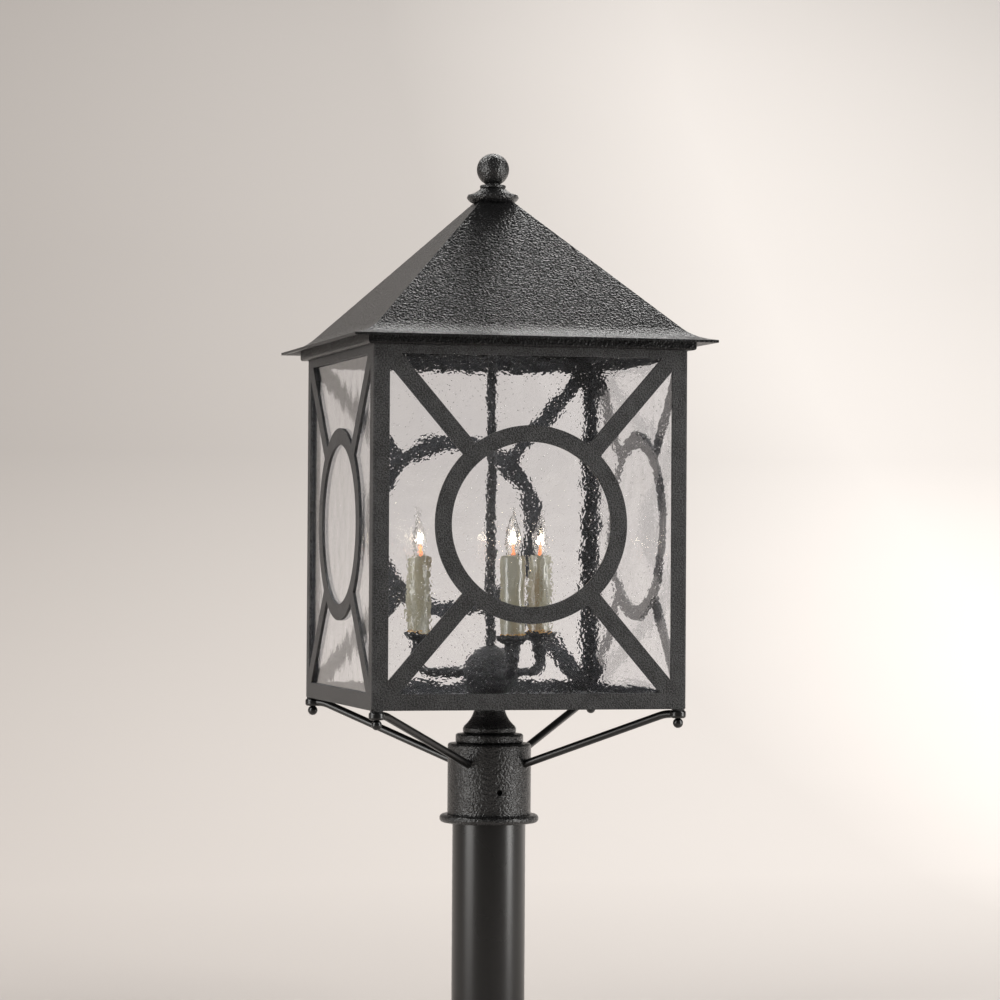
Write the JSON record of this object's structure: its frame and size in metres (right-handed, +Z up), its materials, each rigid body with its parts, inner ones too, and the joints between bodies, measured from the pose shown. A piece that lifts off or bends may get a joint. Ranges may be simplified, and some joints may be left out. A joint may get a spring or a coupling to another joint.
{
  "type": "post lantern",
  "caption": "Square post-top lantern with a flared hipped roof, ring-and-diagonal cut plates over seeded glass, a candle cluster inside, and a braced round fitter on the upper end of a post.",
  "frame": {"origin": "centre of the post piece's lower end", "axes": "+Z up along the post, -Y the lantern's front"},
  "size_m": [0.3742, 0.3742, 0.914],
  "materials": {
    "black_iron": "fine sanded matt powder coat",
    "hammered_iron": "hammered satin powder coat",
    "post_paint": "smooth satin paint",
    "seeded_glass": "clear seeded",
    "bulb_glass": "clear thin",
    "candle_resin": "waxy dripped resin",
    "brass": "bright",
    "filament": "glowing",
    "socket_phenolic": "moulded",
    "zinc_steel": "zinc plated"
  },
  "bodies": {
    "post": {"post_tube": "post_paint"},
    "lantern": {"arm_front": "black_iron", "arm_left": "black_iron", "arm_right": "black_iron", "ball_nuts": "post_paint", "bottom_plate": "black_iron", "brace_back_left": "post_paint", "brace_back_right": "post_paint", "brace_front_left": "post_paint", "brace_front_right": "post_paint", "brace_studs": "zinc_steel", "candle_cups": "black_iron", "candle_sleeve_front": "candle_resin", "candle_sleeve_left": "candle_resin", "candle_sleeve_right": "candle_resin", "centre_pipe": "black_iron", "corner_gussets": "black_iron", "drip_pan_front": "black_iron", "drip_pan_left": "black_iron", "drip_pan_right": "black_iron", "fitter_collar": "hammered_iron", "fitter_lower_step": "hammered_iron", "fitter_neck": "hammered_iron", "fitter_sleeve": "hammered_iron", "fitter_upper_step": "hammered_iron", "foot_washers": "black_iron", "glass_back": "seeded_glass", "glass_clips": "black_iron", "glass_front": "seeded_glass", "glass_left": "seeded_glass", "glass_right": "seeded_glass", "hub_locknut": "zinc_steel", "hub_lower": "black_iron", "hub_upper": "black_iron", "pipe_nut": "zinc_steel", "pipe_washer": "zinc_steel", "plate_back": "black_iron", "plate_front": "black_iron", "plate_left": "black_iron", "plate_right": "black_iron", "set_screws": "black_iron", "socket_front": "socket_phenolic", "socket_left": "socket_phenolic", "socket_right": "socket_phenolic", "top_frame": "black_iron"},
    "roof": {"roof_shell": "hammered_iron", "roof_skirt": "hammered_iron", "roof_seat": "hammered_iron", "finial_cap": "hammered_iron"},
    "finial": {"finial_knob": "hammered_iron"},
    "bulb_front": {"bulb_glass_front": "bulb_glass", "bulb_cap_front": "brass", "bulb_filament_front": "filament"},
    "bulb_right": {"bulb_glass_right": "bulb_glass", "bulb_cap_right": "brass", "bulb_filament_right": "filament"},
    "bulb_left": {"bulb_glass_left": "bulb_glass", "bulb_cap_left": "brass", "bulb_filament_left": "filament"}
  },
  "joints": [
    {"name": "lantern_lift", "type": "slide", "parent": "post", "child": "lantern", "axis": [0, 0, 1], "range_m": [0, 0.1]},
    {"name": "roof_lift", "type": "slide", "parent": "lantern", "child": "roof", "axis": [0, 0, 1], "range_m": [0, 0.2]},
    {"name": "finial_turn", "type": "hinge", "parent": "roof", "child": "finial", "pos_m": [0, 0, 0.877], "axis": [0, 0, 1], "continuous": true},
    {"name": "bulb_turn_front", "type": "hinge", "parent": "lantern", "child": "bulb_front", "pos_m": [0.00336, -0.07693, 0.4925], "axis": [0, 0, 1], "continuous": true},
    {"name": "bulb_turn_right", "type": "hinge", "parent": "lantern", "child": "bulb_right", "pos_m": [0.06494, 0.04137, 0.4925], "axis": [0, 0, 1], "continuous": true},
    {"name": "bulb_turn_left", "type": "hinge", "parent": "lantern", "child": "bulb_left", "pos_m": [-0.0683, 0.03555, 0.4925], "axis": [0, 0, 1], "continuous": true}
  ]
}
